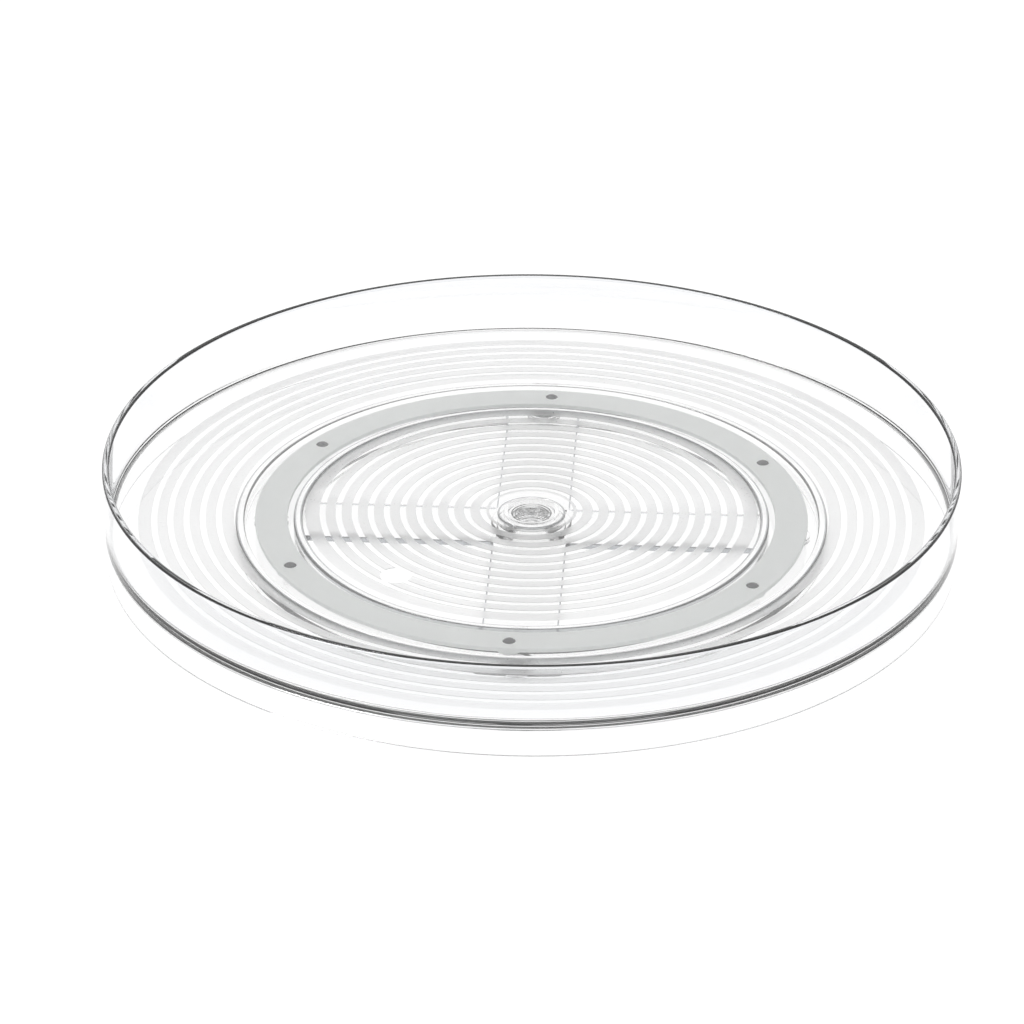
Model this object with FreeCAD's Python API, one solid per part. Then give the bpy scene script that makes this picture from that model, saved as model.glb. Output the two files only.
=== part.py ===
import FreeCAD, Part
import math
import os

# Clear plastic lazy susan, 300 mm across: a shallow round tray that turns on a ball bearing held in a
# spoked base wheel. Millimetres, +Z up. The origin is on the turning axis at the table.

# ---- driving dimensions ----

# tray
TRAY_RADIUS = 150.0          # outside of the wall at the rim
WALL = 2.5                   # wall thickness above the floor
WALL_DRAFT = 0.4             # how much smaller the outside is at the skirt's lower edge
WALL_ABOVE_FLOOR = 21.2
FLOOR = 2.8
FLOOR_FILLET = 1.7           # floor to wall, inside
UNDER_FILLET = 1.3           # floor to skirt, under
SKIRT = 1.7                  # thickness of the wall's continuation below the floor
SKIRT_GAP = 2.0              # skirt's lower edge above the table
RIM_ROUND = 0.9

# frosted floor: polished rings cut into the frosted underside
RING_PITCH = 5.65
RING_WIDTH = 2.2
RING_RELIEF = 0.15
FIRST_RING = 17.0            # radius of the first polished ring inside the bearing
INNER_RINGS = 11
FIRST_OUTER_RING = 109.9     # radius of the first polished ring outside the bearing
OUTER_RINGS = 5
BLANK_SPOT = (-46.4, -48.3)  # centre of the polished spot that interrupts the rings
BLANK_SPOT_RADIUS = 5.6

# ball bearing
BALLS = 6
BALL_DIAMETER = 6.0
BALL_CIRCLE = 92.0           # radius of the circle that the balls run on
FIRST_BALL_ANGLE = 85.5      # degrees from +X
BALL_PLAY = 0.03             # running clearance under and over the balls
RACE_DEPTH = 0.5             # how deep the race is sunk into the base's channel plate
RACE_ROOM = 0.2              # section radius of the race less that of a ball

# cage that spaces the balls
CAGE_THICKNESS = 1.6
CAGE_RISE = 2.2              # top of the cage above the ball's centre
CAGE_INNER_MARGIN = 6.2      # ball circle to the cage's inner edge
CAGE_OUTER_MARGIN = 5.2
POCKET_CLEARANCE = 0.15
POCKET_BOSS_WALL = 1.35
POCKET_BOSS_DROP = 0.9       # foot of the boss below the ball's centre

# base wheel
CHANNEL_PLATE = 2.0
RAIL = 3.2                   # thickness of the inner and outer rails
RAIL_ROUND = 0.8
INNER_CHANNEL_GAP = 2.1      # cage to inner rail
OUTER_CHANNEL_GAP = 3.7      # cage to outer rail
RAIL_HEADROOM = 1.1          # rails to the tray's underside
RAIL_LIFT = 3.4              # rails' lower edge above the table
SPOKES = 4
SPOKE_WIDTH = 26.0
SPOKE_THICKNESS = 2.0
SPOKE_ANGLE = -2.8           # degrees from +X
SPOKE_LIFT = 0.9             # spokes above the rails' lower edge
COLLAR_RADIUS = 14.2
COLLAR_HEIGHT = 3.9
COLLAR_ROUND = 0.8
BARREL_RADIUS = 12.0
BARREL_HEADROOM = 0.6        # barrel to the tray's underside
BARREL_ROUND = 0.4

# pivot stud under the tray and the plug that keeps the base on it
STUD_RADIUS = 9.7
STUD_WALL = 1.4
STUD_CLEARANCE = 0.1         # running clearance in the barrel
STUD_CROWN = 0.6             # closed end of the stud's bore below the floor's underside
PLUG_FLANGE_RADIUS = 12.2
PLUG_FLANGE = 1.3
PLUG_FLANGE_GAP = 0.3        # flange to the underside of the hub
PLUG_TIP_GAP = 0.8
PLUG_SKIN = 1.5              # wall and end thickness of the hollow plug
PLUG_GROOVES = 5
PLUG_GROOVE_PITCH = 1.15
PLUG_GROOVE_WIDTH = 0.5
PLUG_GROOVE_DEPTH = 0.2
PLUG_DIMPLE_RADIUS = 0.9
PLUG_DIMPLE_DEPTH = 0.6

# feet, one under the channel at the end of each spoke
FEET = SPOKES
FOOT_RADIUS = 4.8
FOOT_FREE = 2.4              # pad standing out of its boss
FOOT_SUNK = 1.0              # pad inside its boss
FOOT_CLEARANCE = 0.1
FOOT_BOSS_WALL = 1.3
FOOT_BOSS_HEIGHT = 2.0
FOOT_ROUND = 0.6

# ---- sizes that follow ----

BALL_RADIUS = BALL_DIAMETER / 2
RACE_RADIUS = BALL_RADIUS + RACE_ROOM

FOOT_BOSS_RADIUS = FOOT_RADIUS + FOOT_CLEARANCE + FOOT_BOSS_WALL

PLATE_UNDERSIDE = FOOT_FREE + FOOT_BOSS_HEIGHT
PLATE_TOP = PLATE_UNDERSIDE + CHANNEL_PLATE
BALL_HEIGHT = PLATE_TOP - RACE_DEPTH + BALL_PLAY + BALL_RADIUS
FLOOR_UNDERSIDE = BALL_HEIGHT + BALL_RADIUS + BALL_PLAY
FLOOR_TOP = FLOOR_UNDERSIDE + FLOOR
RIM_HEIGHT = FLOOR_TOP + WALL_ABOVE_FLOOR

CAGE_INNER = BALL_CIRCLE - CAGE_INNER_MARGIN
CAGE_OUTER = BALL_CIRCLE + CAGE_OUTER_MARGIN
POCKET_RADIUS = BALL_RADIUS + POCKET_CLEARANCE
POCKET_BOSS_RADIUS = POCKET_RADIUS + POCKET_BOSS_WALL

INNER_RAIL_OUTSIDE = CAGE_INNER - INNER_CHANNEL_GAP
INNER_RAIL_INSIDE = INNER_RAIL_OUTSIDE - RAIL
OUTER_RAIL_INSIDE = CAGE_OUTER + OUTER_CHANNEL_GAP
OUTER_RAIL_OUTSIDE = OUTER_RAIL_INSIDE + RAIL
RAIL_TOP = FLOOR_UNDERSIDE - RAIL_HEADROOM

SPOKE_UNDERSIDE = RAIL_LIFT + SPOKE_LIFT
BORE_RADIUS = STUD_RADIUS + STUD_CLEARANCE
BARREL_TOP = FLOOR_UNDERSIDE - BARREL_HEADROOM

STUD_BORE_RADIUS = STUD_RADIUS - STUD_WALL
STUD_BORE_TOP = FLOOR_UNDERSIDE - STUD_CROWN
STUD_END = SPOKE_UNDERSIDE - PLUG_FLANGE_GAP
PLUG_TIP = STUD_BORE_TOP - PLUG_TIP_GAP

UP = FreeCAD.Vector(0, 0, 1)
ORIGIN = FreeCAD.Vector(0, 0, 0)


# ---- helpers ----

def lathe(outline):
    """Solid of revolution about Z from a closed outline of (radius, height) points."""
    corners = [FreeCAD.Vector(radius, 0, height) for radius, height in outline]
    wire = Part.makePolygon(corners + corners[:1])
    return Part.Face(wire).revolve(ORIGIN, UP, 360)


def tube(inner, outer, low, high):
    """Plain ring between two radii and two heights."""
    return lathe([(inner, low), (outer, low), (outer, high), (inner, high)])


def disc(radius, low, high, x=0.0, y=0.0):
    return Part.makeCylinder(radius, high - low, FreeCAD.Vector(x, y, low), UP)


def circles_at(solid, spots):
    """The solid's circular edges about the Z axis that pass through the given (radius, height) spots."""
    found = []
    for edge in solid.Edges:
        point = edge.Vertexes[0].Point
        here = (math.hypot(point.x, point.y), point.z)
        length = 2 * math.pi * here[0]
        whole = abs(edge.Length - length) < 1e-3 * length
        if whole and any(math.dist(here, spot) < 1e-4 for spot in spots):
            found.append(edge)
    return found


def rounded(solid, radius, spots):
    edges = circles_at(solid, spots)
    if len(edges) != len(spots):
        raise ValueError("an edge to round is missing")
    return solid.makeFillet(radius, edges)


def around(count, first_angle, radius=0.0):
    """Angle in degrees and x, y for each of a number of equal steps round the axis."""
    places = []
    for step in range(count):
        angle = first_angle + step * 360.0 / count
        turn = math.radians(angle)
        places.append((angle, radius * math.cos(turn), radius * math.sin(turn)))
    return places


def polished_ring_radii():
    inside = [FIRST_RING + step * RING_PITCH for step in range(INNER_RINGS)]
    outside = [FIRST_OUTER_RING + step * RING_PITCH for step in range(OUTER_RINGS)]
    return inside + outside


# ---- the pieces ----

def make_tray():
    skirt_outside = TRAY_RADIUS - WALL_DRAFT
    skirt_inside = skirt_outside - SKIRT
    wall_inside = TRAY_RADIUS - WALL
    rim = [(wall_inside, RIM_HEIGHT), (TRAY_RADIUS, RIM_HEIGHT)]
    skirt_edge = [(skirt_inside, SKIRT_GAP), (skirt_outside, SKIRT_GAP)]
    inner_corner = (wall_inside, FLOOR_TOP)
    under_corner = (skirt_inside, FLOOR_UNDERSIDE)
    outline = [
        (0, FLOOR_TOP),
        inner_corner,
        rim[0],
        rim[1],
        skirt_edge[1],
        skirt_edge[0],
        under_corner,
        (STUD_RADIUS, FLOOR_UNDERSIDE),
        (STUD_RADIUS, STUD_END),
        (STUD_BORE_RADIUS, STUD_END),
        (STUD_BORE_RADIUS, STUD_BORE_TOP),
        (0, STUD_BORE_TOP),
    ]
    tray = lathe(outline)
    tray = rounded(tray, FLOOR_FILLET, [inner_corner])
    tray = rounded(tray, UNDER_FILLET, [under_corner])
    tray = rounded(tray, RIM_ROUND, rim)
    tray = rounded(tray, SKIRT / 3, skirt_edge)
    groove_top = FLOOR_UNDERSIDE + RING_RELIEF
    cuts = []
    for radius in polished_ring_radii():
        cuts.append(tube(radius - RING_WIDTH / 2, radius + RING_WIDTH / 2, FLOOR_UNDERSIDE, groove_top))
    cuts.append(disc(BLANK_SPOT_RADIUS, FLOOR_UNDERSIDE, groove_top, *BLANK_SPOT))
    return tray.cut(cuts)


def make_base_wheel():
    plate = tube(INNER_RAIL_OUTSIDE, OUTER_RAIL_INSIDE, PLATE_UNDERSIDE, PLATE_TOP)
    inner_rail = tube(INNER_RAIL_INSIDE, INNER_RAIL_OUTSIDE, RAIL_LIFT, RAIL_TOP)
    inner_edges = [(INNER_RAIL_INSIDE, RAIL_TOP), (INNER_RAIL_OUTSIDE, RAIL_TOP)]
    inner_rail = rounded(inner_rail, RAIL_ROUND, inner_edges)
    outer_rail = tube(OUTER_RAIL_INSIDE, OUTER_RAIL_OUTSIDE, RAIL_LIFT, RAIL_TOP)
    outer_edges = [(OUTER_RAIL_INSIDE, RAIL_TOP), (OUTER_RAIL_OUTSIDE, RAIL_TOP)]
    outer_rail = rounded(outer_rail, RAIL_ROUND, outer_edges)
    collar_top = SPOKE_UNDERSIDE + COLLAR_HEIGHT
    collar = tube(BORE_RADIUS, COLLAR_RADIUS, SPOKE_UNDERSIDE, collar_top)
    collar = rounded(collar, COLLAR_ROUND, [(COLLAR_RADIUS, collar_top)])
    barrel = tube(BORE_RADIUS, BARREL_RADIUS, SPOKE_UNDERSIDE, BARREL_TOP)
    barrel = rounded(barrel, BARREL_ROUND, [(BARREL_RADIUS, BARREL_TOP)])
    pieces = [inner_rail, outer_rail, collar, barrel]
    spoke_start = BORE_RADIUS + (COLLAR_RADIUS - BORE_RADIUS) / 2
    spoke_reach = INNER_RAIL_INSIDE + RAIL / 2
    for angle, _, _ in around(SPOKES, SPOKE_ANGLE):
        corner = FreeCAD.Vector(spoke_start, -SPOKE_WIDTH / 2, SPOKE_UNDERSIDE)
        spoke = Part.makeBox(spoke_reach - spoke_start, SPOKE_WIDTH, SPOKE_THICKNESS, corner)
        spoke.rotate(ORIGIN, UP, angle)
        pieces.append(spoke)
    for _, x, y in around(FEET, SPOKE_ANGLE, BALL_CIRCLE):
        boss = disc(FOOT_BOSS_RADIUS, FOOT_FREE, PLATE_UNDERSIDE, x, y)
        pocket = disc(FOOT_RADIUS + FOOT_CLEARANCE, FOOT_FREE, FOOT_FREE + FOOT_SUNK, x, y)
        pieces.append(boss.cut(pocket))
    wheel = plate.fuse(pieces)
    race_centre = FreeCAD.Vector(0, 0, BALL_HEIGHT + RACE_ROOM - BALL_PLAY)
    race = Part.makeTorus(BALL_CIRCLE, RACE_RADIUS, race_centre, UP)
    wheel = wheel.cut([race, disc(BORE_RADIUS, SPOKE_UNDERSIDE, BARREL_TOP)])
    return wheel.removeSplitter()


def make_ball_cage():
    cage_top = BALL_HEIGHT + CAGE_RISE
    cage_underside = cage_top - CAGE_THICKNESS
    boss_foot = BALL_HEIGHT - POCKET_BOSS_DROP
    cage = tube(CAGE_INNER, CAGE_OUTER, cage_underside, cage_top)
    places = around(BALLS, FIRST_BALL_ANGLE, BALL_CIRCLE)
    bosses = []
    pockets = []
    for _, x, y in places:
        centre = FreeCAD.Vector(x, y, BALL_HEIGHT)
        bosses.append(disc(POCKET_BOSS_RADIUS, boss_foot, cage_top, x, y))
        pockets.append(Part.makeSphere(POCKET_RADIUS, centre))
        pockets.append(disc(POCKET_RADIUS, boss_foot, BALL_HEIGHT, x, y))
    return cage.fuse(bosses).cut(pockets).removeSplitter()


def make_ball(x, y):
    return Part.makeSphere(BALL_RADIUS, FreeCAD.Vector(x, y, BALL_HEIGHT))


def make_retaining_plug():
    """Hollow plug pressed up into the stud; its flange holds the base wheel on."""
    flange_low = STUD_END - PLUG_FLANGE
    cavity_radius = STUD_BORE_RADIUS - PLUG_SKIN
    cavity_top = PLUG_TIP - PLUG_SKIN
    plug = lathe([
        (0, PLUG_TIP),
        (STUD_BORE_RADIUS, PLUG_TIP),
        (STUD_BORE_RADIUS, STUD_END),
        (PLUG_FLANGE_RADIUS, STUD_END),
        (PLUG_FLANGE_RADIUS, flange_low),
        (cavity_radius, flange_low),
        (cavity_radius, cavity_top),
        (0, cavity_top),
    ])
    cuts = [disc(PLUG_DIMPLE_RADIUS, PLUG_TIP - PLUG_DIMPLE_DEPTH, PLUG_TIP)]
    for step in range(1, PLUG_GROOVES + 1):
        inner = PLUG_DIMPLE_RADIUS + step * PLUG_GROOVE_PITCH
        cuts.append(tube(inner, inner + PLUG_GROOVE_WIDTH, PLUG_TIP - PLUG_GROOVE_DEPTH, PLUG_TIP))
    return plug.cut(cuts)


def make_foot(x, y):
    foot = disc(FOOT_RADIUS, 0, FOOT_FREE + FOOT_SUNK)
    foot = rounded(foot, FOOT_ROUND, [(FOOT_RADIUS, 0)])
    foot.translate(FreeCAD.Vector(x, y, 0))
    return foot


def make_all():
    nodes = {
        "tray": make_tray(),
        "base_wheel": make_base_wheel(),
        "ball_cage": make_ball_cage(),
        "retaining_plug": make_retaining_plug(),
    }
    for number, (_, x, y) in enumerate(around(BALLS, FIRST_BALL_ANGLE, BALL_CIRCLE), 1):
        nodes[f"ball_{number}"] = make_ball(x, y)
    for number, (_, x, y) in enumerate(around(FEET, SPOKE_ANGLE, BALL_CIRCLE), 1):
        nodes[f"foot_{number}"] = make_foot(x, y)
    return nodes


os.makedirs("parts", exist_ok=True)
for name, shape in make_all().items():
    if not shape.isValid() or len(shape.Solids) != 1:
        raise ValueError(f"{name} is not one valid solid")
    shape.exportStep(f"parts/{name}.step")
    box = shape.BoundBox
    print(f"{name:16s} {shape.Volume / 1000:8.2f} cm3   z {box.ZMin:6.2f} to {box.ZMax:6.2f}")
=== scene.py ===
import math

import bpy
from mathutils import Matrix, Vector


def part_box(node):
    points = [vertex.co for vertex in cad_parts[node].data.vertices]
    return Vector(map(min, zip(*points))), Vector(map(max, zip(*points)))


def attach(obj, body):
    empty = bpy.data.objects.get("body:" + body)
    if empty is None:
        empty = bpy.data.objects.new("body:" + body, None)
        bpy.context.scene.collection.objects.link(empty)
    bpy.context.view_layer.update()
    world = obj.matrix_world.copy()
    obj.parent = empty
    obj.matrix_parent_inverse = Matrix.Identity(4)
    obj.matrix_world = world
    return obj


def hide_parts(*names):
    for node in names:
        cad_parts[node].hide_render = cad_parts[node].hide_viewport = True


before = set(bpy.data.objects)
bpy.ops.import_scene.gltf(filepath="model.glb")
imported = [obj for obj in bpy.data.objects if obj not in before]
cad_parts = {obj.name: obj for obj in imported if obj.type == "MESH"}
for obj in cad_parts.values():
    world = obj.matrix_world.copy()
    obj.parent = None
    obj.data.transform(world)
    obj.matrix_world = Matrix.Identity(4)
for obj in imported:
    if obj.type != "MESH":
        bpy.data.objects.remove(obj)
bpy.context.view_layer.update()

MM = 0.001

# ---- places read from the frame ----

TRAY_LOW, TRAY_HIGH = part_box("tray")
WHEEL_LOW, WHEEL_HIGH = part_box("base_wheel")
CAGE_LOW, CAGE_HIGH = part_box("ball_cage")
PLUG_LOW, PLUG_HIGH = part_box("retaining_plug")
BALL_NAMES = [name for name in sorted(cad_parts)
              if name.startswith("ball_") and name != "ball_cage"]
FOOT_NAMES = [name for name in sorted(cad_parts) if name.startswith("foot_")]

# ---- sizes, in metres ----

TRAY_RADIUS = TRAY_HIGH.x
RIM_HEIGHT = TRAY_HIGH.z
SKIRT_GAP = TRAY_LOW.z
WALL = 2.5 * MM
WALL_DRAFT = 0.4 * MM
FLOOR = 2.8 * MM
FLOOR_FILLET = 1.7 * MM
UNDER_FILLET = 1.3 * MM
SKIRT = 1.7 * MM
RIM_ROUND = 0.9 * MM
WALL_ABOVE_FLOOR = 21.2 * MM
FLOOR_TOP = RIM_HEIGHT - WALL_ABOVE_FLOOR
FLOOR_UNDERSIDE = FLOOR_TOP - FLOOR

RING_PITCH = 5.65 * MM
RING_WIDTH = 2.2 * MM
RING_RELIEF = 0.15 * MM
FIRST_RING = 17.0 * MM
INNER_RINGS = 11
FIRST_OUTER_RING = 109.9 * MM
OUTER_RINGS = 5
FROST_START = 14.9 * MM
FROST_STOP = 79.5 * MM
OUTER_FROST_START = 104.6 * MM
OUTER_FROST_STOP = 138.0 * MM
BLANK_SPOT = (-46.4 * MM, -48.3 * MM)
BLANK_SPOT_RADIUS = 5.6 * MM

BALL_CIRCLE = 92.0 * MM
BALL_RADIUS = (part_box("ball_1")[1].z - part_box("ball_1")[0].z) / 2
BALL_HEIGHT = (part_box("ball_1")[1].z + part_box("ball_1")[0].z) / 2
RACE_DEPTH = 0.5 * MM
RACE_RADIUS = BALL_RADIUS + 0.2 * MM

CAGE_OUTER = CAGE_HIGH.x
CAGE_INNER = CAGE_OUTER - 11.4 * MM
CAGE_THICKNESS = 1.6 * MM
CAGE_EDGE = 0.3 * MM
POCKET_RADIUS = BALL_RADIUS + 0.15 * MM
POCKET_BOSS_RADIUS = POCKET_RADIUS + 1.35 * MM

RAIL = 3.2 * MM
RAIL_ROUND = 0.8 * MM
RAIL_EDGE = 0.9 * MM
RAIL_LIFT = 3.4 * MM
OUTER_RAIL_OUTSIDE = WHEEL_HIGH.x
OUTER_RAIL_INSIDE = OUTER_RAIL_OUTSIDE - RAIL
INNER_RAIL_OUTSIDE = CAGE_INNER - 2.1 * MM
INNER_RAIL_INSIDE = INNER_RAIL_OUTSIDE - RAIL
RAIL_TOP = FLOOR_UNDERSIDE - 1.1 * MM
PLATE_UNDERSIDE = 4.4 * MM
PLATE_TOP = 6.4 * MM
SPOKE_UNDERSIDE = 4.3 * MM
SPOKE_THICKNESS = 2.0 * MM
SPOKE_WIDTH = 26.0 * MM
SPOKE_ANGLE = math.radians(-2.8)
SPOKE_ROUND = 0.25 * MM
SPOKES = 4
COLLAR_RADIUS = 14.2 * MM
COLLAR_TOP = 8.2 * MM
COLLAR_ROUND = 0.8 * MM
BARREL_RADIUS = 12.0 * MM
BARREL_TOP = WHEEL_HIGH.z
BARREL_ROUND = 0.4 * MM
BORE_RADIUS = 9.8 * MM

STUD_RADIUS = 9.7 * MM
STUD_BORE_RADIUS = 8.3 * MM
STUD_BORE_TOP = FLOOR_UNDERSIDE - 0.6 * MM
PLUG_FLANGE = 1.3 * MM
STUD_END = PLUG_LOW.z + PLUG_FLANGE
PLUG_STEM_RADIUS = STUD_BORE_RADIUS - 0.03 * MM
PLUG_SKIN = 1.5 * MM
DIMPLE_RADIUS = 0.9 * MM
DIMPLE_DEPTH = 0.6 * MM
RIDGES = 5
RIDGE_PITCH = 1.15 * MM
RIDGE_WIDTH = 0.5 * MM
RIDGE_DEPTH = 0.2 * MM

FOOT_RADIUS = 4.8 * MM
FOOT_ROUND = 0.6 * MM
FOOT_FREE = 2.4 * MM
FOOT_SUNK = 1.0 * MM
FOOT_BOSS_RADIUS = 6.2 * MM

# how finely round shapes are divided, and how near points must be to merge
FINE_STEPS = 256
SMALL_STEPS = 96
ARC_STEPS = 6
MERGE_DISTANCE = 0.0005 * MM


# ---- modelling helpers ----

def clear_selection():
    if bpy.context.object and bpy.context.object.mode != "OBJECT":
        bpy.ops.object.mode_set(mode="OBJECT")
    bpy.ops.object.select_all(action="DESELECT")


def settle():
    """Put the active piece's place into its mesh."""
    bpy.ops.object.transform_apply(location=True, rotation=True, scale=True)


def arc(centre_radius, centre_height, size, start, stop, steps=ARC_STEPS):
    """Points (radius, height) along a round corner between two angles in degrees."""
    points = []
    for step in range(steps + 1):
        turn = math.radians(start + (stop - start) * step / steps)
        points.append((centre_radius + size * math.cos(turn), centre_height + size * math.sin(turn)))
    return points


def turned(name, outline, closed=False, steps=FINE_STEPS):
    """A piece turned about Z: a circle is extruded and resized from point to point of its outline.

    An open outline starts and ends in a flat end; a closed one comes back to its first ring."""
    clear_selection()
    radius, height = outline[0]
    bpy.ops.mesh.primitive_circle_add(vertices=steps, radius=radius, location=(0, 0, height))
    piece = bpy.context.object
    piece.name = name
    settle()
    bpy.ops.object.mode_set(mode="EDIT")
    bpy.ops.mesh.select_mode(type="EDGE")
    bpy.ops.mesh.select_all(action="SELECT")
    if not closed:
        close_end()
    path = outline[1:] + outline[:1] if closed else outline[1:]
    for next_radius, next_height in path:
        bpy.ops.mesh.extrude_edges_move(TRANSFORM_OT_translate={"value": (0, 0, next_height - height)})
        grow = next_radius / radius
        bpy.ops.transform.resize(value=(grow, grow, 1), center_override=(0, 0, next_height))
        radius, height = next_radius, next_height
    if closed:
        bpy.ops.mesh.select_all(action="SELECT")
        bpy.ops.mesh.remove_doubles(threshold=MERGE_DISTANCE)
    else:
        close_end()
    bpy.ops.mesh.select_all(action="SELECT")
    bpy.ops.mesh.normals_make_consistent(inside=False)
    bpy.ops.object.mode_set(mode="OBJECT")
    return piece


def close_end():
    """Close the selected ring with a fan, then leave the ring itself selected."""
    mesh = bpy.context.object
    bpy.ops.object.mode_set(mode="OBJECT")
    ring = [vertex.index for vertex in mesh.data.vertices if vertex.select]
    bpy.ops.object.mode_set(mode="EDIT")
    bpy.ops.mesh.edge_face_add()
    bpy.ops.mesh.poke()
    bpy.ops.mesh.select_all(action="DESELECT")
    bpy.ops.object.mode_set(mode="OBJECT")
    chosen = set(ring)
    for vertex in mesh.data.vertices:
        vertex.select = False
    for edge in mesh.data.edges:
        edge.select = edge.vertices[0] in chosen and edge.vertices[1] in chosen
    bpy.ops.object.mode_set(mode="EDIT")
    bpy.ops.mesh.select_mode(type="EDGE")


def boolean(piece, tool, operation):
    """Join, cut or keep what is common, then drop the tool."""
    clear_selection()
    bpy.context.view_layer.objects.active = piece
    piece.select_set(True)
    change = piece.modifiers.new("change", "BOOLEAN")
    change.operation = operation
    change.solver = "EXACT"
    change.object = tool
    bpy.ops.object.modifier_apply(modifier="change")
    bpy.data.objects.remove(tool)
    bpy.ops.object.mode_set(mode="EDIT")
    bpy.ops.mesh.select_all(action="SELECT")
    bpy.ops.mesh.remove_doubles(threshold=MERGE_DISTANCE)
    bpy.ops.mesh.dissolve_degenerate(threshold=MERGE_DISTANCE)
    bpy.ops.object.mode_set(mode="OBJECT")
    return piece


def smooth(piece, angle=35):
    """Shade smooth, with the large flat faces deciding the normals beside small rounded corners."""
    clear_selection()
    bpy.context.view_layer.objects.active = piece
    piece.select_set(True)
    bpy.ops.object.shade_smooth_by_angle(angle=math.radians(angle))
    even = piece.modifiers.new("even", "WEIGHTED_NORMAL")
    even.keep_sharp = True
    bpy.ops.object.modifier_apply(modifier=even.name)
    return piece


def copy_of(piece, name, place=(0, 0, 0), turn=0.0):
    """A copy with its own mesh, turned about its own Z and then moved, all in its mesh."""
    twin = piece.copy()
    twin.data = piece.data.copy()
    twin.name = name
    bpy.context.scene.collection.objects.link(twin)
    twin.data.transform(Matrix.Translation(place) @ Matrix.Rotation(turn, 4, "Z"))
    return twin


def ring_radii():
    inside = [FIRST_RING + step * RING_PITCH for step in range(INNER_RINGS)]
    outside = [FIRST_OUTER_RING + step * RING_PITCH for step in range(OUTER_RINGS)]
    return inside + outside


# ---- shader helpers ----

class Number:
    """A number in a material's node tree that takes part in sums as a plain number does."""

    def __init__(self, finish, socket):
        self.finish = finish
        self.socket = socket

    def _math(self, operation, first, second=None):
        values = {0: first} if second is None else {0: first, 1: second}
        return self.finish.node("ShaderNodeMath", {"operation": operation}, values)

    def __add__(self, other):
        return self._math("ADD", self, other)

    def __radd__(self, other):
        return self._math("ADD", other, self)

    def __sub__(self, other):
        return self._math("SUBTRACT", self, other)

    def __rsub__(self, other):
        return self._math("SUBTRACT", other, self)

    def __mul__(self, other):
        return self._math("MULTIPLY", self, other)

    def __rmul__(self, other):
        return self._math("MULTIPLY", other, self)

    def __truediv__(self, other):
        return self._math("DIVIDE", self, other)

    def __lt__(self, other):
        return self._math("LESS_THAN", self, other)

    def __gt__(self, other):
        return self._math("GREATER_THAN", self, other)

    def root(self):
        return self._math("SQRT", self)

    def fraction(self):
        return self._math("FRACT", self)

    def size(self):
        return self._math("ABSOLUTE", self)


class Finish:
    """A material with one Principled shader and the nodes that feed it."""

    def __init__(self, name, slot):
        self.material = bpy.data.materials.new(name)
        self.material.use_nodes = True
        self.slot = slot
        self.tree = self.material.node_tree
        self.shader = self.tree.nodes["Principled BSDF"]
        self.place = self.node("ShaderNodeTexCoord", {}, {}, "Object")

    def node(self, kind, settings, inputs, output=0):
        """Add a node: its settings first, then its inputs; give back one of its outputs."""
        made = self.tree.nodes.new(kind)
        for key, value in settings.items():
            setattr(made, key, value)
        for key, value in inputs.items():
            self.feed(made.inputs[key], value)
        return Number(self, made.outputs[output])

    def feed(self, socket, value):
        if isinstance(value, Number):
            self.tree.links.new(value.socket, socket)
        else:
            socket.default_value = value

    def set(self, **values):
        for key, value in values.items():
            self.feed(self.shader.inputs[key.replace("_", " ")], value)

    def axes(self):
        """Object coordinates as three numbers."""
        split = self.tree.nodes.new("ShaderNodeSeparateXYZ")
        self.tree.links.new(self.place.socket, split.inputs[0])
        return [Number(self, output) for output in split.outputs]

    def noise(self, scale, detail=3.0, output="Fac"):
        settings = {"noise_dimensions": "3D"}
        return self.node("ShaderNodeTexNoise", settings,
                         {"Vector": self.place, "Scale": scale, "Detail": detail}, output)

    def bump(self, height, strength, distance):
        return self.node("ShaderNodeBump", {},
                         {"Height": height, "Strength": strength, "Distance": distance})

    def blend(self, amount, first, second):
        return self.node("ShaderNodeMix", {"data_type": "RGBA"},
                         {"Factor": amount, 6: first, 7: second}, 2)


def from_axis(x, y, centre=(0.0, 0.0)):
    """Distance from a vertical line."""
    across = x - centre[0]
    along = y - centre[1]
    return (across * across + along * along).root()


def between(value, low, high):
    return (value > low) * (value < high)


def near(value, middle, reach):
    return between(value, middle - reach, middle + reach)


# ---- finishes ----

CLEAR_IOR = 1.57
PAST_THE_CORNER = 1.43   # beyond where two spokes' edges meet, in half widths
# painted shade: the tray's wall is tinted a little greyer than its floor
PAINTED_WALL_SHADE = (0.945, 0.95, 0.96, 1)
# painted shade on the tray's rounded rim
PAINTED_RIM_SHADE = (0.74, 0.75, 0.77, 1)
# painted shade along the edges of the clear base
PAINTED_EDGE_SHADE = (0.20, 0.21, 0.22, 1)
# lighter painted shade along the spokes' edges
PAINTED_SPOKE_EDGE_SHADE = (0.40, 0.42, 0.44, 1)


def clear_plastic(name, slot):
    """Polished clear styrene with the faint unevenness of a moulded surface."""
    finish = Finish(name, slot)
    finish.set(Transmission_Weight=1.0, IOR=CLEAR_IOR, Roughness=0.0)
    finish.set(Normal=finish.bump(finish.noise(60.0, 1.0), 0.02, 0.1 * MM))
    return finish


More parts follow.
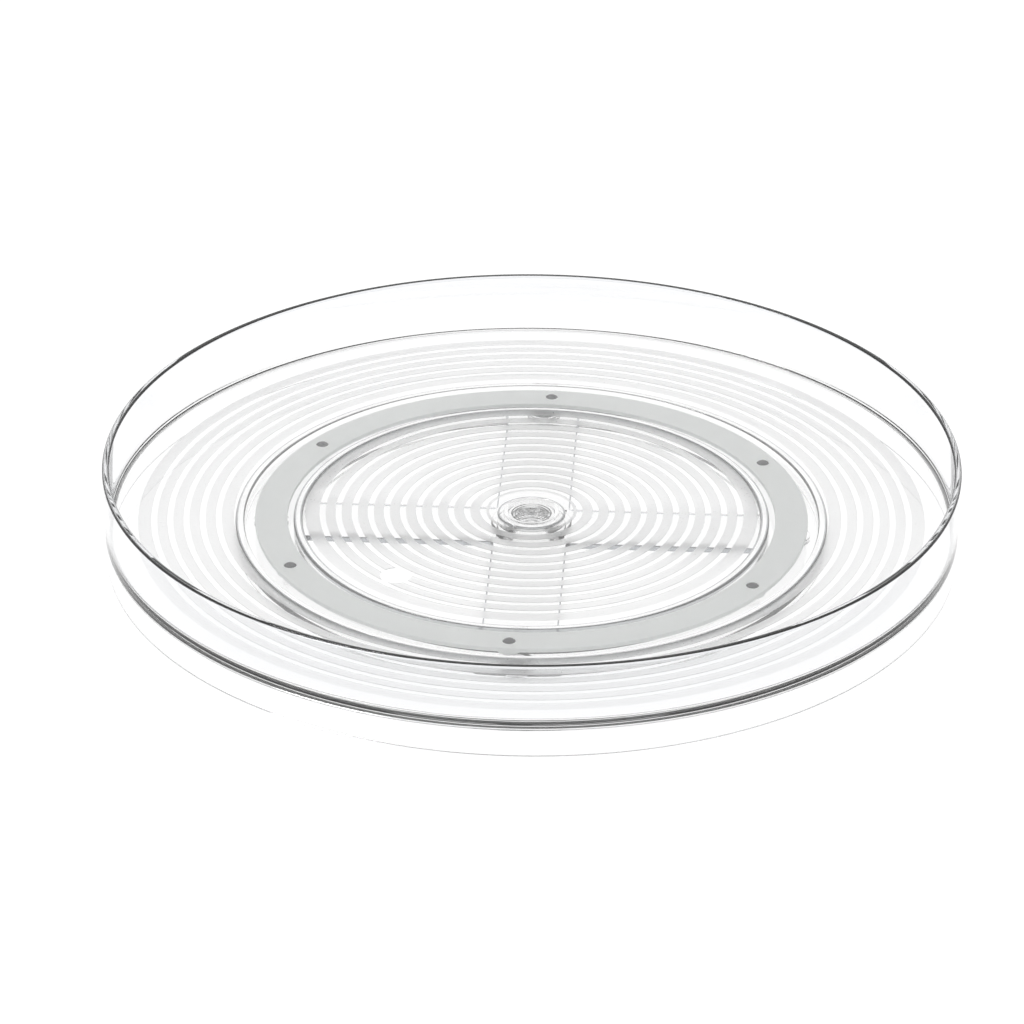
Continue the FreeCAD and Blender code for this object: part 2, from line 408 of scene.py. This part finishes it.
def base_plastic():
    """Clear styrene with painted shade darkening the edges of its rails, spokes and barrel."""
    finish = clear_plastic("clear styrene", "clear_base")
    x, y, z = finish.axes()
    radius = from_axis(x, y)
    rail_edge_shade = near(radius, OUTER_RAIL_OUTSIDE, RAIL_EDGE)
    rail_edge_shade = rail_edge_shade + near(radius, INNER_RAIL_OUTSIDE, RAIL_EDGE)
    rail_edge_shade = rail_edge_shade + near(radius, INNER_RAIL_INSIDE, RAIL_EDGE)
    rails = rail_edge_shade * (z > RAIL_TOP - 2 * RAIL_ROUND)
    barrel = between(radius, BARREL_RADIUS - 2 * BARREL_ROUND, BARREL_RADIUS + BARREL_ROUND)
    # painted shade: dark lines on the rail edges and the barrel's top edge
    dark = rails + barrel * (z > BARREL_TOP - 2 * BARREL_ROUND)
    along = x * math.cos(SPOKE_ANGLE) + y * math.sin(SPOKE_ANGLE)
    across = y * math.cos(SPOKE_ANGLE) - x * math.sin(SPOKE_ANGLE)
    half = SPOKE_WIDTH / 2
    sides = (across.size() - half).size() < 2 * SPOKE_ROUND
    ends = (along.size() - half).size() < 2 * SPOKE_ROUND
    spoke_reach = between(radius, half * PAST_THE_CORNER, INNER_RAIL_INSIDE)
    either = finish.node("ShaderNodeMath", {"operation": "MAXIMUM"}, {0: sides, 1: ends})
    spoke_edge_shade = either * spoke_reach
    # painted shade, lighter, on the spokes' long edges and ends
    plain = finish.blend(spoke_edge_shade, (1.0, 1.0, 1.0, 1), PAINTED_SPOKE_EDGE_SHADE)
    finish.set(Base_Color=finish.blend(dark, plain, PAINTED_EDGE_SHADE))
    return finish


def plug_plastic():
    """Clear styrene with painted shade on the plug's tip: dark at the dimple where it was gated, faint
    grey on its ridges.
    """
    finish = clear_plastic("clear styrene plug", "clear_tray")
    x, y, z = finish.axes()
    radius = from_axis(x, y)
    ridge = ((radius - DIMPLE_RADIUS) / RIDGE_PITCH).fraction() < RIDGE_WIDTH / RIDGE_PITCH
    tip = z > PLUG_HIGH.z - RIDGE_DEPTH * 1.5
    # painted shade: the tip's ridges are tinted grey and its dimple dark
    ridged = finish.blend(ridge * tip, (1.0, 1.0, 1.0, 1), (0.84, 0.85, 0.86, 1))
    finish.set(Base_Color=finish.blend(radius < DIMPLE_RADIUS, ridged, (0.25, 0.26, 0.27, 1)))
    return finish


def frosted_band(radius, start, stop, first_ring, count):
    """Where one band of the floor is frosted, its polished rings left out."""
    first_edge = first_ring - RING_WIDTH / 2
    last_edge = first_ring + (count - 0.5) * RING_PITCH
    phase = ((radius - first_edge) / RING_PITCH).fraction()
    polished = (phase < RING_WIDTH / RING_PITCH) * between(radius, first_edge, last_edge)
    return between(radius, start, stop) * (1.0 - polished)


def frosted_clear_plastic():
    """The tray: polished all over but for the grained bands under its floor."""
    finish = Finish("clear styrene with frosted bands", "clear_tray")
    x, y, z = finish.axes()
    radius = from_axis(x, y)
    inner = frosted_band(radius, FROST_START, FROST_STOP, FIRST_RING, INNER_RINGS)
    outer = frosted_band(radius, OUTER_FROST_START, OUTER_FROST_STOP, FIRST_OUTER_RING, OUTER_RINGS)
    underside = between(z, FLOOR_UNDERSIDE - 0.05 * MM, FLOOR_UNDERSIDE + 0.05 * MM)
    spot = from_axis(x, y, BLANK_SPOT) > BLANK_SPOT_RADIUS
    frosted = (inner + outer) * underside * spot
    grain = finish.noise(1400.0, 2.0)
    moulded = finish.noise(60.0, 1.0)
    # painted shade: the rounded top of the rim is tinted dark grey
    edge = z > RIM_HEIGHT - RIM_ROUND
    # painted shade: the wall above the floor fillet is tinted a little greyer than the floor
    wall = z > FLOOR_TOP + FLOOR_FILLET
    floor = finish.blend(frosted, (1.0, 1.0, 1.0, 1), (0.985, 0.987, 0.987, 1))
    body = finish.blend(wall, floor, PAINTED_WALL_SHADE)
    finish.set(Base_Color=finish.blend(edge, body, PAINTED_RIM_SHADE))
    finish.set(Transmission_Weight=1.0, IOR=CLEAR_IOR)
    finish.set(Roughness=frosted * (0.2 + grain * 0.24))
    finish.set(Normal=finish.bump(moulded * 0.02 + frosted * grain, 0.4, 0.1 * MM))
    return finish


def cage_plastic():
    """Translucent grey cage with a satin, slightly mottled face."""
    finish = Finish("translucent grey cage", "grey_cage")
    mottle = finish.noise(240.0, 3.0)
    finish.set(Base_Color=finish.blend(mottle, (0.90, 0.915, 0.905, 1), (0.95, 0.965, 0.955, 1)))
    finish.set(Roughness=0.42 + mottle * 0.12, Transmission_Weight=0.2, IOR=1.5)
    # painted light: a faint glow that brightens the cage, though it is no lamp
    finish.set(Emission_Color=(0.95, 1.0, 0.98, 1), Emission_Strength=0.07)
    finish.set(Normal=finish.bump(finish.noise(900.0, 2.0), 0.15, 0.05 * MM))
    return finish


def ball_steel():
    """Polished bearing steel with fine lapping marks."""
    finish = Finish("polished bearing steel", "ball_steel")
    lapping = finish.noise(2600.0, 2.0)
    # painted shade: the steel is tinted near black for the dark surroundings it reflects; the lapping
    # marks vary it at random
    finish.set(Base_Color=finish.blend(lapping, (0.015, 0.016, 0.017, 1), (0.03, 0.031, 0.033, 1)))
    finish.set(Metallic=1.0, Roughness=0.12 + lapping * 0.08, Coat_Weight=0.6)
    return finish


def foot_silicone():
    """Soft milky silicone."""
    finish = Finish("milky silicone", "foot_silicone")
    cloud = finish.noise(500.0, 3.0)
    finish.set(Base_Color=finish.blend(cloud, (0.86, 0.87, 0.87, 1), (0.93, 0.94, 0.94, 1)))
    finish.set(Roughness=0.45 + cloud * 0.15, Transmission_Weight=0.55, IOR=1.41)
    finish.set(Normal=finish.bump(finish.noise(1500.0, 2.0), 0.2, 0.04 * MM))
    return finish


# ---- the pieces ----

def tray_outline():
    wall_inside = TRAY_RADIUS - WALL
    skirt_outside = TRAY_RADIUS - WALL_DRAFT
    skirt_inside = skirt_outside - SKIRT
    rim_low = RIM_HEIGHT - RIM_ROUND
    skirt_round = SKIRT / 3
    skirt_low = SKIRT_GAP + skirt_round
    outline = [(FROST_START * 0.7, FLOOR_TOP), (OUTER_FROST_STOP, FLOOR_TOP)]
    outline += arc(wall_inside - FLOOR_FILLET, FLOOR_TOP + FLOOR_FILLET, FLOOR_FILLET, -90, 0)
    outline += arc(wall_inside + RIM_ROUND, rim_low, RIM_ROUND, 180, 90)
    outline += arc(TRAY_RADIUS - RIM_ROUND, rim_low, RIM_ROUND, 90, 0)
    outline += arc(skirt_outside - skirt_round, skirt_low, skirt_round, 0, -90)
    outline += arc(skirt_inside + skirt_round, skirt_low, skirt_round, -90, -180)
    outline += arc(skirt_inside - UNDER_FILLET, FLOOR_UNDERSIDE - UNDER_FILLET, UNDER_FILLET, 0, 90)
    groove_top = FLOOR_UNDERSIDE + RING_RELIEF
    features = []
    for radius in ring_radii():
        inner, outer = radius - RING_WIDTH / 2, radius + RING_WIDTH / 2
        low, high = FLOOR_UNDERSIDE, groove_top
        features.append([(outer, low), (outer, high), (inner, high), (inner, low)])
    for feature in sorted(features, reverse=True):
        outline += feature
    outline += [
        (STUD_RADIUS, FLOOR_UNDERSIDE),
        (STUD_RADIUS, STUD_END),
        (STUD_BORE_RADIUS, STUD_END),
        (STUD_BORE_RADIUS, STUD_BORE_TOP),
        (STUD_BORE_RADIUS * 0.5, STUD_BORE_TOP),
    ]
    return outline


def make_tray():
    tray = turned("turning_tray", tray_outline())
    clear_selection()
    bpy.ops.mesh.primitive_cylinder_add(
        vertices=SMALL_STEPS, radius=BLANK_SPOT_RADIUS, depth=2 * RING_RELIEF,
        location=(BLANK_SPOT[0], BLANK_SPOT[1], FLOOR_UNDERSIDE))
    spot = bpy.context.object
    settle()
    boolean(tray, spot, "DIFFERENCE")
    return smooth(tray)


def rail_outline(inside, outside):
    outline = [(inside, RAIL_LIFT), (outside, RAIL_LIFT)]
    outline += arc(outside - RAIL_ROUND, RAIL_TOP - RAIL_ROUND, RAIL_ROUND, 0, 90)
    outline += arc(inside + RAIL_ROUND, RAIL_TOP - RAIL_ROUND, RAIL_ROUND, 90, 180)
    return outline


def channel_outline():
    """Both rails and the raced plate between them, as one section."""
    race_centre = PLATE_TOP - RACE_DEPTH + RACE_RADIUS
    race_half = math.degrees(math.acos((race_centre - PLATE_TOP) / RACE_RADIUS))
    outline = [(INNER_RAIL_INSIDE, RAIL_LIFT), (INNER_RAIL_OUTSIDE, RAIL_LIFT)]
    outline += [(INNER_RAIL_OUTSIDE, PLATE_UNDERSIDE), (OUTER_RAIL_INSIDE, PLATE_UNDERSIDE)]
    outline += rail_outline(OUTER_RAIL_INSIDE, OUTER_RAIL_OUTSIDE)
    outline += [(OUTER_RAIL_INSIDE, PLATE_TOP)]
    outline += arc(BALL_CIRCLE, race_centre, RACE_RADIUS, -90 + race_half, -90 - race_half)
    outline += [(INNER_RAIL_OUTSIDE, PLATE_TOP)]
    outline += arc(INNER_RAIL_OUTSIDE - RAIL_ROUND, RAIL_TOP - RAIL_ROUND, RAIL_ROUND, 0, 90)
    outline += arc(INNER_RAIL_INSIDE + RAIL_ROUND, RAIL_TOP - RAIL_ROUND, RAIL_ROUND, 90, 180)
    return outline


def hub_outline():
    outline = [(BORE_RADIUS, SPOKE_UNDERSIDE), (COLLAR_RADIUS, SPOKE_UNDERSIDE)]
    outline += arc(COLLAR_RADIUS - COLLAR_ROUND, COLLAR_TOP - COLLAR_ROUND, COLLAR_ROUND, 0, 90)
    outline += [(BARREL_RADIUS, COLLAR_TOP)]
    outline += arc(BARREL_RADIUS - BARREL_ROUND, BARREL_TOP - BARREL_ROUND, BARREL_ROUND, 0, 90)
    outline += [(BORE_RADIUS, BARREL_TOP)]
    return outline


def make_spoke(angle):
    """A flat strip from the hub to the inner rail with eased long edges."""
    start = (BORE_RADIUS + COLLAR_RADIUS) / 2
    stop = INNER_RAIL_INSIDE + RAIL / 2
    clear_selection()
    bpy.ops.mesh.primitive_cube_add(
        size=1, location=((start + stop) / 2, 0, SPOKE_UNDERSIDE + SPOKE_THICKNESS / 2),
        scale=(stop - start, SPOKE_WIDTH, SPOKE_THICKNESS))
    spoke = bpy.context.object
    settle()
    bpy.ops.object.mode_set(mode="EDIT")
    bpy.ops.mesh.select_all(action="DESELECT")
    bpy.ops.object.mode_set(mode="OBJECT")
    for edge in spoke.data.edges:
        ends = [spoke.data.vertices[index].co for index in edge.vertices]
        edge.select = abs(ends[0].x - ends[1].x) > SPOKE_WIDTH
    bpy.ops.object.mode_set(mode="EDIT")
    bpy.ops.mesh.select_mode(type="EDGE")
    bpy.ops.mesh.bevel(offset=SPOKE_ROUND, segments=3)
    bpy.ops.object.mode_set(mode="OBJECT")
    spoke.data.transform(Matrix.Rotation(angle, 4, "Z"))
    return spoke


def make_foot_boss(place):
    """The round socket under the channel that a foot pad sits in."""
    sunk = FOOT_FREE + FOOT_SUNK
    inner = FOOT_RADIUS + 0.1 * MM
    middle = PLATE_UNDERSIDE + 0.2 * MM
    outline = [(inner * 0.5, sunk), (inner, sunk), (inner, FOOT_FREE), (FOOT_BOSS_RADIUS, FOOT_FREE),
               (FOOT_BOSS_RADIUS, middle), (inner * 0.5, middle)]
    boss = turned("foot_boss", outline, steps=SMALL_STEPS)
    boss.data.transform(Matrix.Translation((place.x, place.y, 0)))
    return boss


def make_base_wheel():
    wheel = turned("spoked_base", channel_outline(), closed=True)
    boolean(wheel, turned("hub", hub_outline(), closed=True, steps=SMALL_STEPS * 2), "UNION")
    for number in range(SPOKES):
        boolean(wheel, make_spoke(SPOKE_ANGLE + number * 2 * math.pi / SPOKES), "UNION")
    for name in FOOT_NAMES:
        low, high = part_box(name)
        boolean(wheel, make_foot_boss((low + high) / 2), "UNION")
    return smooth(wheel)


def ball_places():
    return [sum(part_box(name), Vector()) / 2 for name in BALL_NAMES]


def one_at_each_ball(shape):
    """Copies of a shape at every ball, joined into one object; the shape itself goes."""
    copies = [copy_of(shape, "copy", (place.x, place.y, 0)) for place in ball_places()]
    bpy.data.objects.remove(shape)
    clear_selection()
    for each in copies:
        each.select_set(True)
    bpy.context.view_layer.objects.active = copies[0]
    bpy.ops.object.join()
    return copies[0]


def make_cage():
    """Flat ring with a socket hanging below it round each ball."""
    high = CAGE_HIGH.z
    low = high - CAGE_THICKNESS
    outline = arc(CAGE_OUTER - CAGE_EDGE, low + CAGE_EDGE, CAGE_EDGE, -90, 0, 3)
    outline += arc(CAGE_OUTER - CAGE_EDGE, high - CAGE_EDGE, CAGE_EDGE, 0, 90, 3)
    outline += arc(CAGE_INNER + CAGE_EDGE, high - CAGE_EDGE, CAGE_EDGE, 90, 180, 3)
    outline += arc(CAGE_INNER + CAGE_EDGE, low + CAGE_EDGE, CAGE_EDGE, 180, 270, 3)
    cage = turned("spacer_cage", outline, closed=True)
    foot, joined = CAGE_LOW.z, low + CAGE_THICKNESS / 2
    boss_outline = [(POCKET_BOSS_RADIUS * 0.5, foot)]
    boss_outline += arc(POCKET_BOSS_RADIUS - CAGE_EDGE, foot + CAGE_EDGE, CAGE_EDGE, -90, 0, 3)
    boss_outline += [(POCKET_BOSS_RADIUS, joined), (POCKET_BOSS_RADIUS * 0.5, joined)]
    boss = turned("socket", boss_outline, steps=SMALL_STEPS)
    low_end = foot - CAGE_EDGE
    pocket_outline = [(POCKET_RADIUS * 0.5, low_end), (POCKET_RADIUS, low_end)]
    pocket_outline += [(POCKET_RADIUS * math.cos(turn), BALL_HEIGHT + POCKET_RADIUS * math.sin(turn))
                       for turn in [step * math.pi / 26 for step in range(13)]]
    pocket = turned("pocket", pocket_outline, steps=SMALL_STEPS)
    boolean(cage, one_at_each_ball(boss), "UNION")
    boolean(cage, one_at_each_ball(pocket), "DIFFERENCE")
    return smooth(cage)


def make_plug():
    """Hollow plug with finely ridged tip and a dimple where it was gated."""
    tip = PLUG_HIGH.z
    flange_low = PLUG_LOW.z
    cavity = PLUG_STEM_RADIUS - PLUG_SKIN
    outline = [
        (DIMPLE_RADIUS * 0.5, tip - DIMPLE_DEPTH),
        (DIMPLE_RADIUS * 0.8, tip - DIMPLE_DEPTH * 0.8),
        (DIMPLE_RADIUS, tip),
    ]
    for step in range(1, RIDGES + 1):
        inner = DIMPLE_RADIUS + step * RIDGE_PITCH
        middle, outer = inner + RIDGE_WIDTH / 2, inner + RIDGE_WIDTH
        outline += [(inner, tip), (middle, tip - RIDGE_DEPTH), (outer, tip)]
    edge = 0.3 * MM
    outline += arc(PLUG_STEM_RADIUS - edge, tip - edge, edge, 90, 0, 3)
    outline += [
        (PLUG_STEM_RADIUS, STUD_END),
        (PLUG_HIGH.x - edge, STUD_END),
        (PLUG_HIGH.x, STUD_END - edge),
        (PLUG_HIGH.x, flange_low + edge),
        (PLUG_HIGH.x - edge, flange_low),
        (cavity, flange_low),
        (cavity, tip - PLUG_SKIN),
        (cavity * 0.5, tip - PLUG_SKIN),
    ]
    return smooth(turned("hub_plug", outline, steps=SMALL_STEPS * 2), 25)


def make_ball():
    """A ball with quads all over, so that its poles don't pinch."""
    clear_selection()
    bpy.ops.mesh.primitive_cube_add(size=BALL_RADIUS)
    ball = bpy.context.object
    bpy.ops.object.mode_set(mode="EDIT")
    bpy.ops.mesh.select_all(action="SELECT")
    bpy.ops.mesh.subdivide(number_cuts=15)
    bpy.ops.transform.tosphere(value=1)
    bpy.ops.object.mode_set(mode="OBJECT")
    reach = max(vertex.co.length for vertex in ball.data.vertices)
    ball.data.transform(Matrix.Scale(BALL_RADIUS / reach, 4))
    return smooth(ball, 180)


def make_foot():
    top = FOOT_FREE + FOOT_SUNK
    edge = 0.2 * MM
    outline = [(FOOT_RADIUS * 0.5, 0)]
    outline += arc(FOOT_RADIUS - FOOT_ROUND, FOOT_ROUND, FOOT_ROUND, -90, 0)
    outline += arc(FOOT_RADIUS - edge, top - edge, edge, 0, 90, 3)
    outline += [(FOOT_RADIUS * 0.5, top)]
    return smooth(turned("foot_pad", outline, steps=SMALL_STEPS))


def dress(piece, finish, body, *nodes):
    """Give a piece its finish, attach it to the body that carries it and hide the nodes it stands for.
    """
    piece.data.materials.clear()
    piece.data.materials.append(finish.material)
    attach(piece, body)
    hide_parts(*nodes)


def make_object():
    clear = base_plastic()
    plug_clear = plug_plastic()
    steel = ball_steel()
    silicone = foot_silicone()
    dress(make_tray(), frosted_clear_plastic(), "tray", "tray")
    dress(make_plug(), plug_clear, "tray", "retaining_plug")
    dress(make_base_wheel(), clear, "base", "base_wheel")
    dress(make_cage(), cage_plastic(), "cage", "ball_cage")
    ball = make_ball()
    for name, place in zip(BALL_NAMES, ball_places()):
        dress(copy_of(ball, f"steel_{name}", place), steel, name, name)
    bpy.data.objects.remove(ball)
    foot = make_foot()
    for name in FOOT_NAMES:
        low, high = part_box(name)
        place = (low + high) / 2
        dress(copy_of(foot, f"soft_{name}", (place.x, place.y, 0)), silicone, "base", name)
    bpy.data.objects.remove(foot)


# ---- floor, light and camera ----

FLOOR_REACH = 30.0
CAMERA_DISTANCE = 11 * 0.150
CAMERA_ELEVATION = math.radians(27.15)
CAMERA_YAW = math.radians(0.236)
CAMERA_PITCH = math.radians(-0.70)
CAMERA_ROLL = math.radians(-0.357)
CAMERA_LENS = 4717 * 36 / 1024


def make_floor():
    clear_selection()
    bpy.ops.mesh.primitive_plane_add(size=2 * FLOOR_REACH, location=(0, 0, 0))
    floor = bpy.context.object
    floor.name = "pale_floor"
    finish = Finish("pale floor", "floor")
    finish.set(Base_Color=(0.12, 0.12, 0.12, 1), Roughness=0.9, Specular_IOR_Level=0.0)
    finish.set(Emission_Color=(1, 1, 1, 1), Emission_Strength=0.98)
    floor.data.materials.append(finish.material)


def make_light():
    world = bpy.data.worlds.new("studio")
    bpy.context.scene.world = world
    world.use_nodes = True
    tree = world.node_tree
    place = tree.nodes.new("ShaderNodeTexCoord")
    split = tree.nodes.new("ShaderNodeSeparateXYZ")
    ramp = tree.nodes.new("ShaderNodeValToRGB")
    ramp.color_ramp.elements[0].position = 0.0
    ramp.color_ramp.elements[0].color = (0.35, 0.36, 0.38, 1)
    ramp.color_ramp.elements[1].position = 0.22
    ramp.color_ramp.elements[1].color = (1.0, 1.0, 1.0, 1)
    tree.links.new(place.outputs["Generated"], split.inputs[0])
    tree.links.new(split.outputs["Z"], ramp.inputs["Fac"])
    tree.links.new(ramp.outputs["Color"], tree.nodes["Background"].inputs["Color"])
    tree.nodes["Background"].inputs["Strength"].default_value = 1.0
    clear_selection()
    bpy.ops.object.light_add(type="AREA", location=(-0.5, 0.5, 1.4))
    lamp = bpy.context.object
    lamp.data.size = 0.3
    lamp.data.energy = 3
    lamp.rotation_euler = (Vector((0, 0, 0)) - lamp.location).to_track_quat("-Z", "Y").to_euler()


def make_camera():
    """Look at the rim's centre from the front, then lean by the small yaw, pitch and roll."""
    target = Vector((0, 0, RIM_HEIGHT))
    back = Vector((0, -math.cos(CAMERA_ELEVATION), math.sin(CAMERA_ELEVATION)))
    right = Vector((1, 0, 0))
    up = right.cross(-back)
    yaw = Matrix.Rotation(CAMERA_YAW, 3, up)
    forward, right = yaw @ -back, yaw @ right
    pitch = Matrix.Rotation(CAMERA_PITCH, 3, right)
    forward, up = pitch @ forward, pitch @ up
    roll = Matrix.Rotation(CAMERA_ROLL, 3, forward)
    right, up = roll @ right, roll @ up
    bpy.ops.object.camera_add(location=target + back * CAMERA_DISTANCE)
    camera = bpy.context.object
    camera.rotation_mode = "QUATERNION"
    camera.rotation_quaternion = Matrix((right, up, -forward)).transposed().to_quaternion()
    camera.data.lens = CAMERA_LENS
    camera.data.clip_start = 0.01
    camera.data.clip_end = 100
    bpy.context.scene.camera = camera


make_camera()
make_object()
make_floor()
make_light()
bpy.context.scene.view_settings.view_transform = "Standard"
